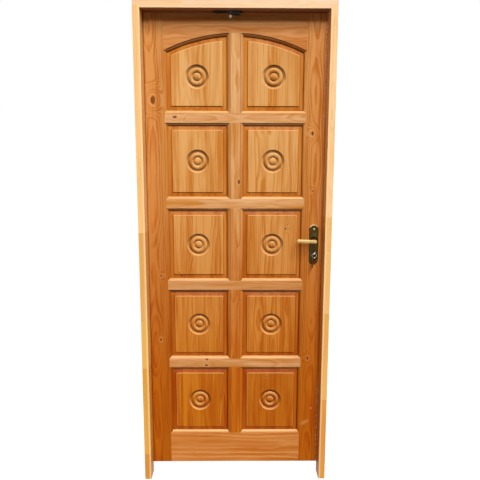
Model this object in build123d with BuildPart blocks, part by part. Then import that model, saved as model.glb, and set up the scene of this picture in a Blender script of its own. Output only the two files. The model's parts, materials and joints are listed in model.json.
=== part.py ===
from build123d import *
import math
import os

# Leaf
leaf_width = 800
leaf_height = 2040
leaf_thickness = 40
leaf_lift = 45

# Frame
frame_depth = 110
jamb_face = 29
head_face = 32
stop_lap = 12
stop_gap = 0.5
leaf_gap = 2.5
housing_depth = 10
arris_radius = 2.5

# Stiles, rails and muntins
stile_face = 97
muntin_face = 50
rail_face = 42
bottom_rail_face = 146
top_rail_crown = 91
arch_rise = 71
narrow_rails = 4

# Moulded edge and groove round each panel opening
sticking_width = 10
sticking_depth = 10
quirk_depth = 1.5
sticking_bulge_width_share = 0.62
sticking_bulge_depth_share = 0.28
groove_width = 12
groove_depth = 12

# Mortise and tenon joints
tenon_length = 45
tenon_setback = 8
fit_gap = 0.2

# Panels
panel_play = 0.6
tongue_gap = 0.3
margin_width = 19
margin_sink = 8
field_sink = 5

# Turned rosette on each panel: radii as shares of its outer radius, depths as shares of its depth
rosette_radius = 50
rosette_depth = 6
top_rosette_rise = 150
rosette_radius_shares = (1, 0.97, 0.9, 0.78, 0.74, 0.66, 0.565, 0.47, 0.39, 0.35, 0.31, 0.2, 0)
rosette_depth_shares = (0, 0.5, 0.84, 1, 0.45, 0.16, 0.06, 0.16, 0.45, 1, 0.56, 0.23, 0.06)

# Butt hinges
hinge_height = 100
hinge_end_distance = 230
hinge_plate_width = 28
hinge_plate_thickness = 2
knuckles = 3
knuckle_radius = 6
knuckle_clearance = 0.5
knuckle_end_gap = 0.4
pin_radius = 3
pin_head_radius = 4.5
pin_head_height = 2.5
running_clearance = 0.05
hinge_screw_shares = (-0.34, 0, 0.34)
hinge_screw_line_share = 0.45

# Countersunk screws
screw_head_radius = 4
screw_head_height = 2.2
screw_shank_radius = 1.8
screw_length = 11

# Lock position
backset = 50
spindle_height = 1071
cylinder_drop = 55

# Lock case
case_depth = 72
case_thickness = 15
case_wall = 1.5
case_rise = 42
case_fall = 42
case_clearance = 0.5

# Faceplate and strike plate
faceplate_width = 20
faceplate_height = 220
faceplate_thickness = 3
faceplate_screw_inset = 12
strike_width = 22
strike_height = 170
strike_thickness = 1.5
strike_screw_inset = 10
bolt_window_gap = 1.2
pocket_gap = 1

# Latch bolt
latch_rise = 24
latch_thickness = 12
latch_height = 19
latch_throw = 10.5
latch_nose_flat = 2
latch_head_length = 22
latch_tail_height = 8
latch_tail_lift = 4
latch_lug_length = 6
latch_lug_drop = 16

# Dead bolt
dead_bolt_fall = 25
dead_bolt_height = 18
dead_bolt_thickness = 12
dead_bolt_throw = 12
dead_bolt_length = 45

# Follower and spindle
follower_radius = 11
follower_boss_radius = 8.5
follower_side_gap = 0.3
follower_arm_reach = 19
follower_arm_width = 7
follower_arm_thickness = 6
follower_lug_gap = 1.6
spindle_width = 8
spindle_gap = 0.05

# Handle plates
plate_width = 41
plate_height = 179
plate_thickness = 7
plate_bevel = 2.5
plate_drop = 20.5
plate_screw_inset = 19
collar_radius = 11.5
collar_height = 1.6

# Levers
lever_projection = 58
lever_reach = 82
lever_height = 16
lever_depth = 11
lever_rounding = 4.5
lever_lift_angle = 3
lever_socket_depth = 26
neck_radius = 8

# Profile cylinder
barrel_radius = 8.5
flag_width = 10
flag_drop = 19.5
cylinder_proud = 3
plug_radius = 6
cam_width = 10
cam_side_gap = 0.2
cam_ring_radius = 8.2
cam_reach = 15
cam_tooth_width = 7
cam_bridge_drop = 9.5
keyway_width = 2.6
keyway_height = 9
keyway_depth = 30
cylinder_screw_radius = 2.5
cylinder_screw_drop = 16
cylinder_screw_bite = 8
cylinder_hole_gap = 0.4

# Keys
key_thickness = 2.2
key_bow_radius = 11.5
key_bow_offset = 14
key_hole_radius = 3.2
key_hole_offset = 6.5
key_blade_height = 8.4
key_blade_length = 28
key_turned_angle = 37
ring_radius = 10
ring_wire_radius = 0.8
spare_key_angle = 55
spare_key_lean = 12
spare_blade_length = 25
spare_key_seat_gap = 0.55

# Catch under the head
catch_length = 126
catch_width = 34
catch_thickness = 3
catch_shift = 31
catch_setback = 4
catch_slot_length = 46
catch_slot_width = 7
catch_slot_shift = 26
catch_block_length = 32
catch_block_width = 24
catch_block_height = 9
catch_block_shift = 33
stud_x = -20
stud_drop = 13
stud_reach = 12
stud_base_radius = 6
stud_base_thickness = 2
stud_neck_radius = 2.2
stud_ball_radius = 4

# One overrun serves every cut
overrun = 1

# Places worked out from the sizes above
leaf_half = leaf_width / 2
opening_half = leaf_half - stop_lap
frame_half = opening_half + jamb_face
rebate_half = leaf_half + leaf_gap
overall_depth = frame_depth + lever_projection
frame_front_y = -overall_depth / 2
leaf_back_y = frame_front_y + frame_depth
leaf_front_y = leaf_back_y - leaf_thickness
leaf_mid_y = leaf_back_y - leaf_thickness / 2
stop_back_y = leaf_front_y - stop_gap
leaf_top = leaf_lift + leaf_height
head_under = leaf_top - stop_lap
rebate_top = leaf_top + leaf_gap
frame_top = head_under + head_face
jamb_top = head_under + housing_depth

# Face lines of the leaf's members
stile_line = leaf_half - stile_face
muntin_line = muntin_face / 2
bottom_line = leaf_lift + bottom_rail_face
crown_line = leaf_top - top_rail_crown
arch_end_line = crown_line - arch_rise
row_height = (crown_line - bottom_line - narrow_rails * rail_face) / (narrow_rails + 1)
rail_pitch = row_height + rail_face
arch_radius = (stile_line**2 + arch_rise**2) / (2 * arch_rise)
arch_centre_z = crown_line - arch_radius
rail_low_lines = [crown_line - place * rail_pitch for place in range(1, narrow_rails + 1)]

# Panel openings, between the inner edges of the moulding
panel_edge_outer = stile_line - sticking_width
panel_edge_inner = muntin_line + sticking_width
tongue_half = groove_width / 2 - tongue_gap
margin_half = leaf_thickness / 2 - margin_sink
field_half = leaf_thickness / 2 - field_sink

# Joints
tenon_end = stile_line + tenon_length
tenon_thickness = groove_width - 2 * fit_gap
tenon_bands = [(leaf_lift + tenon_setback, bottom_line - tenon_setback)]
tenon_bands += [(low + tenon_setback, low + rail_face - tenon_setback) for low in rail_low_lines]
tenon_bands += [(arch_end_line + tenon_setback, leaf_top - tenon_setback)]

# Hinge line
hinge_x = -leaf_half - leaf_gap / 2
hinge_y = leaf_back_y + knuckle_radius + knuckle_clearance
hinge_levels = (
    leaf_top - hinge_end_distance,
    (leaf_top + leaf_lift) / 2,
    leaf_lift + hinge_end_distance,
)
knuckle_length = hinge_height / knuckles

# Lock line
lock_x = leaf_half - backset
spindle_z = leaf_lift + spindle_height
cylinder_z = spindle_z - cylinder_drop
cylinder_screw_z = cylinder_z - cylinder_screw_drop
latch_z = spindle_z + latch_rise
dead_bolt_z = spindle_z - dead_bolt_fall
plate_z = spindle_z - plate_drop
faceplate_back_x = leaf_half - faceplate_thickness
case_back_x = faceplate_back_x - case_depth
case_high = spindle_z + case_rise
case_low = cylinder_z - case_fall
case_mid_z = (case_high + case_low) / 2
faceplate_z = case_mid_z
strike_z = (latch_z + dead_bolt_z) / 2

os.makedirs("parts", exist_ok=True)


def save(part, name):
    """Label a finished piece and write it under its own name."""
    part.label = name
    export_step(part, f"parts/{name}.step")


def facing_front(x, y, z):
    """Plane through a point, with X to the right, Z up and its normal towards the viewer."""
    return Plane(origin=(x, y, z), x_dir=(1, 0, 0), z_dir=(0, -1, 0))


def across_leaf(x):
    """Plane across the leaf's rails: local x is height, local y is thickness, normal along the rail."""
    return Plane(origin=(x, leaf_mid_y, 0), x_dir=(0, 0, 1), z_dir=(1, 0, 0))


def up_leaf(z):
    """Plane across the leaf's upright members: local x is width, local y is thickness."""
    return Plane(origin=(0, leaf_mid_y, z), x_dir=(1, 0, 0), z_dir=(0, 0, 1))


# Sections shared by the leaf's members
def sticking(edge, way):
    """Moulded tongue beyond a face line: a small quirk, then an ovolo on each face down to the lips."""
    quirk_half = leaf_thickness / 2 - quirk_depth
    lip_half = leaf_thickness / 2 - sticking_depth
    bulge_x = edge + way * sticking_width * sticking_bulge_width_share
    bulge_y = quirk_half - (quirk_half - lip_half) * sticking_bulge_depth_share
    tip_x = edge + way * sticking_width
    with BuildSketch() as tongue:
        with BuildLine():
            Line((edge, -quirk_half), (edge, quirk_half))
            ThreePointArc((edge, quirk_half), (bulge_x, bulge_y), (tip_x, lip_half))
            Line((tip_x, lip_half), (tip_x, -lip_half))
            ThreePointArc((tip_x, -lip_half), (bulge_x, -bulge_y), (edge, -quirk_half))
        make_face()
    return tongue.sketch


def groove(edge, way):
    """Panel groove cut back from the moulding's inner edge."""
    with BuildSketch() as slot:
        with Locations((edge + way * (sticking_width - groove_depth / 2), 0)):
            Rectangle(groove_depth, groove_width)
    return slot.sketch


def member(low, high, stuck_edges):
    """Section of a leaf member between two face lines, moulded and grooved on the listed edges."""
    with BuildSketch() as section:
        with Locations(((low + high) / 2, 0)):
            Rectangle(high - low, leaf_thickness)
        for edge, way in stuck_edges:
            add(sticking(edge, way))
            add(groove(edge, way), mode=Mode.SUBTRACT)
    return section.sketch


def tenon_box(side, low, high, gap, mode):
    """Tenon of one rail end, or with a gap its mortise in the stile."""
    start = panel_edge_outer
    end = tenon_end + gap
    thickness = tenon_thickness + 2 * gap
    with Locations((side * (start + end) / 2, leaf_mid_y, (low + high) / 2)):
        Box(end - start, thickness, high - low + 2 * gap, mode=mode)


def screw_planes(points, outward):
    """Planes at the screws' head faces."""
    return [Plane(origin=point, z_dir=outward) for point in points]


def screw_bodies(points, outward, gap, mode):
    """Countersunk screws at the given points, or with a gap the holes that they sit in."""
    top_centre = (Align.CENTER, Align.CENTER, Align.MAX)
    with Locations(*screw_planes(points, outward)):
        Cone(screw_shank_radius + gap, screw_head_radius + gap, screw_head_height, align=top_centre, mode=mode)
        Cylinder(screw_shank_radius + gap, screw_length + gap, align=top_centre, mode=mode)


def cylinder_profile(gap):
    """Round barrel with a narrower round-ended flag below it, about the barrel's axis."""
    with BuildSketch() as profile:
        Circle(barrel_radius + gap)
        with Locations((0, -flag_drop / 2)):
            Rectangle(flag_width + 2 * gap, flag_drop)
        with Locations((0, -flag_drop)):
            Circle(flag_width / 2 + gap)
    return profile.sketch


def cut_for_lock():
    """Mortise for the lock case, and bores for the spindle, the cylinder and its screw, through all they meet."""
    mortise_back_x = case_back_x - case_clearance
    with Locations(((mortise_back_x + leaf_half) / 2, leaf_mid_y, case_mid_z)):
        Box(
            leaf_half - mortise_back_x,
            case_thickness + 2 * case_clearance,
            case_high - case_low + 2 * case_clearance,
            mode=Mode.SUBTRACT,
        )
    with BuildSketch(facing_front(lock_x, leaf_mid_y, spindle_z)) as spindle_bore:
        Circle(collar_radius)
    extrude(spindle_bore.sketch, amount=leaf_thickness, both=True, mode=Mode.SUBTRACT)
    with BuildSketch(facing_front(lock_x, leaf_mid_y, cylinder_z)) as cylinder_bore:
        add(cylinder_profile(case_clearance))
    extrude(cylinder_bore.sketch, amount=leaf_thickness, both=True, mode=Mode.SUBTRACT)
    with Locations(Plane(origin=(leaf_half, leaf_mid_y, cylinder_screw_z), z_dir=(1, 0, 0))):
        Cylinder(cylinder_screw_radius + running_clearance, 2 * backset, mode=Mode.SUBTRACT)


# Places of the screws
def hinge_screw_points(level, x):
    """Three screws in a row down one hinge plate."""
    y = leaf_back_y - hinge_plate_width * (1 - hinge_screw_line_share)
    return [(x, y, level + hinge_height * share) for share in hinge_screw_shares]


frame_screw_points = [point for level in hinge_levels for point in hinge_screw_points(level, -rebate_half)]
leaf_screw_points = [point for level in hinge_levels for point in hinge_screw_points(level, -leaf_half)]
faceplate_screw_reach = faceplate_height / 2 - faceplate_screw_inset
faceplate_screw_points = [(leaf_half, leaf_mid_y, faceplate_z + way * faceplate_screw_reach) for way in (1, -1)]
strike_screw_reach = strike_height / 2 - strike_screw_inset
strike_screw_points = [(rebate_half, leaf_mid_y, strike_z + way * strike_screw_reach) for way in (1, -1)]
plate_screw_reach = plate_height / 2 - plate_screw_inset
plate_screw_levels = (plate_z + plate_screw_reach, plate_z - plate_screw_reach)
front_plate_y = leaf_front_y - plate_thickness
rear_plate_y = leaf_back_y + plate_thickness
front_screw_points = [(lock_x, front_plate_y, level) for level in plate_screw_levels]
rear_screw_points = [(lock_x, rear_plate_y, level) for level in plate_screw_levels]


# Jambs: a full face in front and a rebate behind that takes the leaf
def jamb_section(side):
    """L section of one jamb."""
    with BuildSketch() as section:
        with BuildLine():
            Polyline(
                (side * opening_half, frame_front_y),
                (side * frame_half, frame_front_y),
                (side * frame_half, leaf_back_y),
                (side * rebate_half, leaf_back_y),
                (side * rebate_half, stop_back_y),
                (side * opening_half, stop_back_y),
                close=True,
            )
        make_face()
    return section.sketch


with BuildPart() as hinge_jamb:
    extrude(jamb_section(-1), amount=jamb_top)
    inner_arris = hinge_jamb.edges().filter_by(Axis.Z).group_by(Axis.Y)[0].sort_by(Axis.X)[-1]
    fillet(inner_arris, arris_radius)
    for level in hinge_levels:
        with Locations((-rebate_half - hinge_plate_thickness / 2, leaf_back_y - hinge_plate_width / 2, level)):
            Box(hinge_plate_thickness, hinge_plate_width, hinge_height, mode=Mode.SUBTRACT)
    screw_bodies(frame_screw_points, (1, 0, 0), running_clearance, Mode.SUBTRACT)
save(hinge_jamb.part, "hinge_jamb")

latch_pocket_depth = latch_throw + pocket_gap
dead_bolt_pocket_depth = dead_bolt_throw + pocket_gap
with BuildPart() as lock_jamb:
    extrude(jamb_section(1), amount=jamb_top)
    inner_arris = lock_jamb.edges().filter_by(Axis.Z).group_by(Axis.Y)[0].sort_by(Axis.X)[0]
    fillet(inner_arris, arris_radius)
    with Locations((rebate_half, leaf_mid_y, strike_z)):
        Box(2 * strike_thickness, strike_width, strike_height, mode=Mode.SUBTRACT)
    with Locations((leaf_half + latch_pocket_depth / 2, leaf_mid_y, latch_z)):
        Box(
            latch_pocket_depth,
            latch_thickness + 2 * bolt_window_gap,
            latch_height + 2 * bolt_window_gap,
            mode=Mode.SUBTRACT,
        )
    with Locations((leaf_half + dead_bolt_pocket_depth / 2, leaf_mid_y, dead_bolt_z)):
        Box(
            dead_bolt_pocket_depth,
            dead_bolt_thickness + 2 * bolt_window_gap,
            dead_bolt_height + 2 * bolt_window_gap,
            mode=Mode.SUBTRACT,
        )
    screw_bodies(strike_screw_points, (-1, 0, 0), running_clearance, Mode.SUBTRACT)
save(lock_jamb.part, "lock_jamb")

# Head: rebated between the jambs and housed over their tops
with BuildPart() as head:
    with Locations((0, (frame_front_y + leaf_back_y) / 2, (head_under + frame_top) / 2)):
        Box(2 * frame_half, frame_depth, head_face)
    lower_arris = head.edges().filter_by(Axis.X).group_by(Axis.Z)[0].sort_by(Axis.Y)[0]
    fillet(lower_arris, arris_radius)
    rebate_y = leaf_back_y + overrun
    rebate_low = head_under - overrun
    with Locations((0, (stop_back_y + rebate_y) / 2, (rebate_low + rebate_top) / 2)):
        Box(2 * rebate_half, rebate_y - stop_back_y, rebate_top - rebate_low, mode=Mode.SUBTRACT)
    extrude(jamb_section(-1), amount=jamb_top, mode=Mode.SUBTRACT)
    extrude(jamb_section(1), amount=jamb_top, mode=Mode.SUBTRACT)
save(head.part, "head")

# Stiles: full height, moulded and grooved on the inner edge, mortised for every rail
with BuildPart() as hinge_stile:
    with BuildSketch(up_leaf(leaf_lift)):
        add(member(-leaf_half, -stile_line, [(-stile_line, 1)]))
    extrude(amount=leaf_height)
    for low, high in tenon_bands:
        tenon_box(-1, low, high, fit_gap, Mode.SUBTRACT)
    for level in hinge_levels:
        with Locations((-leaf_half + hinge_plate_thickness / 2, leaf_back_y - hinge_plate_width / 2, level)):
            Box(hinge_plate_thickness, hinge_plate_width, hinge_height, mode=Mode.SUBTRACT)
    screw_bodies(leaf_screw_points, (-1, 0, 0), running_clearance, Mode.SUBTRACT)
save(hinge_stile.part, "hinge_stile")

with BuildPart() as lock_stile:
    with BuildSketch(up_leaf(leaf_lift)):
        add(member(stile_line, leaf_half, [(stile_line, -1)]))
    extrude(amount=leaf_height)
    for low, high in tenon_bands:
        tenon_box(1, low, high, fit_gap, Mode.SUBTRACT)
    with BuildSketch(Plane(origin=(leaf_half, leaf_mid_y, faceplate_z), x_dir=(0, 0, 1), z_dir=(1, 0, 0))):
        SlotOverall(faceplate_height, faceplate_width)
    extrude(amount=-faceplate_thickness, mode=Mode.SUBTRACT)
    cut_for_lock()
    screw_bodies(front_screw_points, (0, -1, 0), running_clearance, Mode.SUBTRACT)
    screw_bodies(rear_screw_points, (0, 1, 0), running_clearance, Mode.SUBTRACT)
    screw_bodies(faceplate_screw_points, (1, 0, 0), running_clearance, Mode.SUBTRACT)
save(lock_stile.part, "lock_stile")


# Rails: shoulders scribed over the stiles' moulding, tenons in the stiles' mortises
def cross_rail(name, low, high, stuck_edges, band):
    """Straight rail between two face lines."""
    with BuildPart() as rail:
        with BuildSketch(across_leaf(-stile_line)):
            add(member(low, high, stuck_edges))
        extrude(amount=2 * stile_line)
        for side in (-1, 1):
            tenon_box(side, *band, 0, Mode.ADD)
        add(hinge_stile.part, mode=Mode.SUBTRACT)
        add(lock_stile.part, mode=Mode.SUBTRACT)
        cut_for_lock()
    save(rail.part, name)
    return rail.part


bottom_rail = cross_rail("bottom_rail", leaf_lift, bottom_line, [(bottom_line, 1)], tenon_bands[0])
narrow_rail_parts = []
for place, low in enumerate(rail_low_lines):
    edges = [(low, -1), (low + rail_face, 1)]
    narrow_rail_parts.append(cross_rail(f"rail_{place + 2}", low, low + rail_face, edges, tenon_bands[place + 1]))

# Top rail: its lower edge is one arch from stile to stile, moulded and grooved along the curve
with BuildPart() as top_rail:
    rail_low = arch_end_line - sticking_width
    with Locations((0, leaf_mid_y, (rail_low + leaf_top) / 2)):
        Box(2 * stile_line, leaf_thickness, leaf_top - rail_low)
    with BuildSketch(Plane(origin=(0, leaf_mid_y, arch_centre_z), x_dir=(0, 0, 1), z_dir=(1, 0, 0))):
        with Locations((arch_radius / 2, 0)):
            Rectangle(arch_radius, leaf_thickness + 2 * overrun)
        add(sticking(arch_radius, -1), mode=Mode.SUBTRACT)
        add(groove(arch_radius, -1))
    revolve(axis=Axis((0, 0, arch_centre_z), (0, 1, 0)), revolution_arc=360, mode=Mode.SUBTRACT)
    for side in (-1, 1):
        tenon_box(side, *tenon_bands[-1], 0, Mode.ADD)
    add(hinge_stile.part, mode=Mode.SUBTRACT)
    add(lock_stile.part, mode=Mode.SUBTRACT)
save(top_rail.part, "top_rail")

# Muntins: one in each row, scribed over the moulding of the rails above and below
rails_from_top = [top_rail.part] + narrow_rail_parts + [bottom_rail]
row_floor_lines = [low + rail_face for low in rail_low_lines] + [bottom_line]
row_ceiling_lines = [crown_line] + rail_low_lines
for row, floor_line in enumerate(row_floor_lines):
    with BuildPart() as muntin:
        with BuildSketch(up_leaf(floor_line)):
            add(member(-muntin_line, muntin_line, [(-muntin_line, -1), (muntin_line, 1)]))
        extrude(amount=row_ceiling_lines[row] - floor_line)
        add(rails_from_top[row], mode=Mode.SUBTRACT)
        add(rails_from_top[row + 1], mode=Mode.SUBTRACT)
    save(muntin.part, f"muntin_{row + 1}")


# Panels: a tongue in the grooves, a sloping margin, a raised field and a turned rosette
def panel_outline(side, floor_line, ceiling_line, arched, inset):
    """Outline of a panel, set in from the edges of its opening; the top one follows the arch."""
    low = floor_line + sticking_width + inset
    high = ceiling_line - sticking_width - inset
    inner = panel_edge_inner + inset
    outer = panel_edge_outer - inset
    with BuildSketch() as outline:
        with Locations((side * (inner + outer) / 2, (low + high) / 2)):
            Rectangle(outer - inner, high - low)
        if arched:
            with Locations((0, arch_centre_z)):
                Circle(arch_radius - sticking_width - inset, mode=Mode.INTERSECT)
    return outline.sketch


def panel(name, side, floor_line, ceiling_line, arched, rosette_z):
    """One floating panel, fielded on both faces, with a rosette on the front."""
    rosette_x = side * (panel_edge_inner + panel_edge_outer) / 2
    tongue_inset = panel_play - groove_depth
    field_y = leaf_mid_y - field_half
    with BuildPart() as piece:
        with BuildSketch(Plane.XZ.offset(-leaf_mid_y)):
            add(panel_outline(side, floor_line, ceiling_line, arched, tongue_inset))
        extrude(amount=tongue_half)
        with BuildSketch(Plane.XZ.offset(tongue_half - leaf_mid_y)):
            add(panel_outline(side, floor_line, ceiling_line, arched, 0))
        with BuildSketch(Plane.XZ.offset(margin_half - leaf_mid_y)):
            add(panel_outline(side, floor_line, ceiling_line, arched, margin_width))
        loft(ruled=True)
        with BuildSketch(Plane.XZ.offset(margin_half - leaf_mid_y)):
            add(panel_outline(side, floor_line, ceiling_line, arched, margin_width))
        extrude(amount=field_half - margin_half)
        mirror(about=Plane.XZ.offset(-leaf_mid_y))
        with BuildSketch(Plane(origin=(rosette_x, field_y, rosette_z), x_dir=(1, 0, 0), z_dir=(0, 0, 1))):
            with BuildLine():
                turned = [
                    (rosette_radius * out, rosette_depth * down)
                    for out, down in zip(rosette_radius_shares, rosette_depth_shares)
                ]
                Polyline(*turned, (0, -overrun), (rosette_radius, -overrun), close=True)
            make_face()
        revolve(axis=Axis((rosette_x, field_y, rosette_z), (0, 1, 0)), mode=Mode.SUBTRACT)
    save(piece.part, name)


for row, floor_line in enumerate(row_floor_lines):
    arched = row == 0
    rosette_z = floor_line + (top_rosette_rise if arched else row_height / 2)
    ceiling_line = row_ceiling_lines[row]
    panel(f"panel_left_{row + 1}", -1, floor_line, ceiling_line, arched, rosette_z)
    panel(f"panel_right_{row + 1}", 1, floor_line, ceiling_line, arched, rosette_z)


# Hinges: two knuckles on the frame's leaf, one between them on the door's leaf, and a headed pin
def hinge_leaf(name, level, plate_x, knuckle_levels, screw_points, outward):
    """Plate let into the wood, with its knuckles on the hinge line behind."""
    strap_end_y = hinge_y - knuckle_radius / 2
    length = knuckle_length - knuckle_end_gap
    with BuildPart() as leaf:
        with Locations((plate_x, leaf_back_y - hinge_plate_width / 2, level)):
            Box(hinge_plate_thickness, hinge_plate_width, hinge_height)
        for knuckle_level in knuckle_levels:
            with Locations((plate_x, (leaf_back_y + strap_end_y) / 2, knuckle_level)):
                Box(hinge_plate_thickness, strap_end_y - leaf_back_y, length)
            with Locations((hinge_x, hinge_y, knuckle_level)):
                Cylinder(knuckle_radius, length)
        with Locations((hinge_x, hinge_y, level)):
            Cylinder(pin_radius + running_clearance, hinge_height + overrun, mode=Mode.SUBTRACT)
        screw_bodies(screw_points, outward, running_clearance, Mode.SUBTRACT)
    save(leaf.part, name)


for place, level in enumerate(hinge_levels):
    number = place + 1
    outer_levels = (level - knuckle_length, level + knuckle_length)
    frame_plate_x = -rebate_half - hinge_plate_thickness / 2
    leaf_plate_x = -leaf_half + hinge_plate_thickness / 2
    frame_points = hinge_screw_points(level, -rebate_half)
    leaf_points = hinge_screw_points(level, -leaf_half)
    hinge_leaf(f"hinge_frame_leaf_{number}", level, frame_plate_x, outer_levels, frame_points, (1, 0, 0))
    hinge_leaf(f"hinge_door_leaf_{number}", level, leaf_plate_x, (level,), leaf_points, (-1, 0, 0))
    with BuildPart() as hinge_pin:
        pin_half = (hinge_height - knuckle_end_gap) / 2
        with Locations((hinge_x, hinge_y, level)):
            Cylinder(pin_radius, 2 * pin_half)
        with Locations((hinge_x, hinge_y, level + pin_half)):
            Cylinder(pin_head_radius, pin_head_height, align=(Align.CENTER, Align.CENTER, Align.MIN))
        with Locations((hinge_x, hinge_y, level - pin_half)):
            Cylinder(pin_head_radius, pin_head_height, align=(Align.CENTER, Align.CENTER, Align.MAX))
    save(hinge_pin.part, f"hinge_pin_{number}")

with BuildPart() as frame_hinge_screws:
    screw_bodies(frame_screw_points, (1, 0, 0), 0, Mode.ADD)
save(frame_hinge_screws.part, "frame_hinge_screws")

with BuildPart() as leaf_hinge_screws:
    screw_bodies(leaf_screw_points, (-1, 0, 0), 0, Mode.ADD)
save(leaf_hinge_screws.part, "leaf_hinge_screws")

# Strike plate, let into the lock jamb, with a window for each bolt
with BuildPart() as strike_plate:
    with Locations((rebate_half + strike_thickness / 2, leaf_mid_y, strike_z)):
        Box(strike_thickness, strike_width, strike_height)
    with Locations((rebate_half, leaf_mid_y, latch_z)):
        Box(
            backset,
            latch_thickness + 2 * bolt_window_gap,
            latch_height + 2 * bolt_window_gap,
            mode=Mode.SUBTRACT,
        )
    with Locations((rebate_half, leaf_mid_y, dead_bolt_z)):
        Box(
            backset,
            dead_bolt_thickness + 2 * bolt_window_gap,
            dead_bolt_height + 2 * bolt_window_gap,
            mode=Mode.SUBTRACT,
        )
    screw_bodies(strike_screw_points, (-1, 0, 0), running_clearance, Mode.SUBTRACT)
save(strike_plate.part, "strike_plate")

with BuildPart() as strike_screws:
    screw_bodies(strike_screw_points, (-1, 0, 0), 0, Mode.ADD)
save(strike_screws.part, "strike_screws")

# Lock case: a thin box open towards the faceplate
with BuildPart() as lock_case:
    with Locations(((case_back_x + faceplate_back_x) / 2, leaf_mid_y, case_mid_z)):
        Box(case_depth, case_thickness, case_high - case_low)
    with Locations(((case_back_x + case_wall + faceplate_back_x) / 2, leaf_mid_y, case_mid_z)):
        Box(
            case_depth - case_wall,
            case_thickness - 2 * case_wall,
            case_high - case_low - 2 * case_wall,
            mode=Mode.SUBTRACT,
        )
    with BuildSketch(facing_front(lock_x, leaf_mid_y, spindle_z)):
        Circle(follower_boss_radius + running_clearance)
    extrude(amount=leaf_thickness, both=True, mode=Mode.SUBTRACT)
    with BuildSketch(facing_front(lock_x, leaf_mid_y, cylinder_z)):
        add(cylinder_profile(fit_gap))
    extrude(amount=leaf_thickness, both=True, mode=Mode.SUBTRACT)
save(lock_case.part, "lock_case")

# Faceplate, flush in the leaf's edge
with BuildPart() as lock_faceplate:
    with BuildSketch(Plane(origin=(leaf_half, leaf_mid_y, faceplate_z), x_dir=(0, 0, 1), z_dir=(1, 0, 0))):
        SlotOverall(faceplate_height - 2 * fit_gap, faceplate_width - 2 * fit_gap)
        with Locations((latch_z - faceplate_z, 0)):
            Rectangle(latch_height + 2 * fit_gap, latch_thickness + 2 * fit_gap, mode=Mode.SUBTRACT)
        with Locations((dead_bolt_z - faceplate_z, 0)):
            Rectangle(dead_bolt_height + 2 * fit_gap, dead_bolt_thickness + 2 * fit_gap, mode=Mode.SUBTRACT)
        with Locations((cylinder_screw_z - faceplate_z, 0)):
            Circle(cylinder_screw_radius + running_clearance, mode=Mode.SUBTRACT)
    extrude(amount=-faceplate_thickness)
    screw_bodies(faceplate_screw_points, (1, 0, 0), running_clearance, Mode.SUBTRACT)
save(lock_faceplate.part, "lock_faceplate")

with BuildPart() as faceplate_screws:
    screw_bodies(faceplate_screw_points, (1, 0, 0), 0, Mode.ADD)
save(faceplate_screws.part, "faceplate_screws")

# Latch bolt: bevelled nose, and a tail whose lug the follower's arm draws back
lug_front_x = lock_x - follower_arm_width / 2 - follower_lug_gap
with BuildPart() as latch_bolt:
    head_back_x = leaf_half + latch_throw - latch_head_length
    nose_x = leaf_half + latch_throw
    with BuildSketch(Plane.XY.offset(latch_z - latch_height / 2)):
        with BuildLine():
            Polyline(
                (head_back_x, leaf_mid_y - latch_thickness / 2),
                (leaf_half, leaf_mid_y - latch_thickness / 2),
                (nose_x, leaf_mid_y + latch_thickness / 2 - latch_nose_flat),
                (nose_x, leaf_mid_y + latch_thickness / 2),
                (head_back_x, leaf_mid_y + latch_thickness / 2),
                close=True,
            )
        make_face()
    extrude(amount=latch_height)
    tail_z = latch_z + latch_tail_lift
    tail_back_x = lug_front_x - latch_lug_length
    with Locations(((tail_back_x + head_back_x) / 2, leaf_mid_y, tail_z)):
        Box(head_back_x - tail_back_x, follower_arm_thickness, latch_tail_height)
    lug_high = tail_z + latch_tail_height / 2
    with Locations((lug_front_x - latch_lug_length / 2, leaf_mid_y, lug_high - latch_lug_drop / 2)):
        Box(latch_lug_length, follower_arm_thickness, latch_lug_drop)
save(latch_bolt.part, "latch_bolt")

# Dead bolt, flush with the faceplate while unlocked
with BuildPart() as dead_bolt:
    with Locations((leaf_half - dead_bolt_length / 2, leaf_mid_y, dead_bolt_z)):
        Box(dead_bolt_length, dead_bolt_thickness, dead_bolt_height)
save(dead_bolt.part, "dead_bolt")

# Follower: turns in the case's walls, carries the spindle and lifts an arm to the latch
follower_thickness = case_thickness - 2 * case_wall - 2 * follower_side_gap
with BuildPart() as follower:
    with BuildSketch(facing_front(lock_x, leaf_mid_y, spindle_z)):
        Circle(follower_radius)
    extrude(amount=follower_thickness / 2, both=True)
    with BuildSketch(facing_front(lock_x, leaf_mid_y, spindle_z)):
        Circle(follower_boss_radius)
    extrude(amount=case_thickness / 2, both=True)
    with Locations((lock_x, leaf_mid_y, spindle_z + follower_arm_reach / 2)):
        Box(follower_arm_width, follower_arm_thickness, follower_arm_reach)
    socket_width = spindle_width + 2 * spindle_gap
    with Locations((lock_x, leaf_mid_y, spindle_z)):
        Box(socket_width, leaf_thickness, socket_width, mode=Mode.SUBTRACT)
save(follower.part, "follower")


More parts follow.
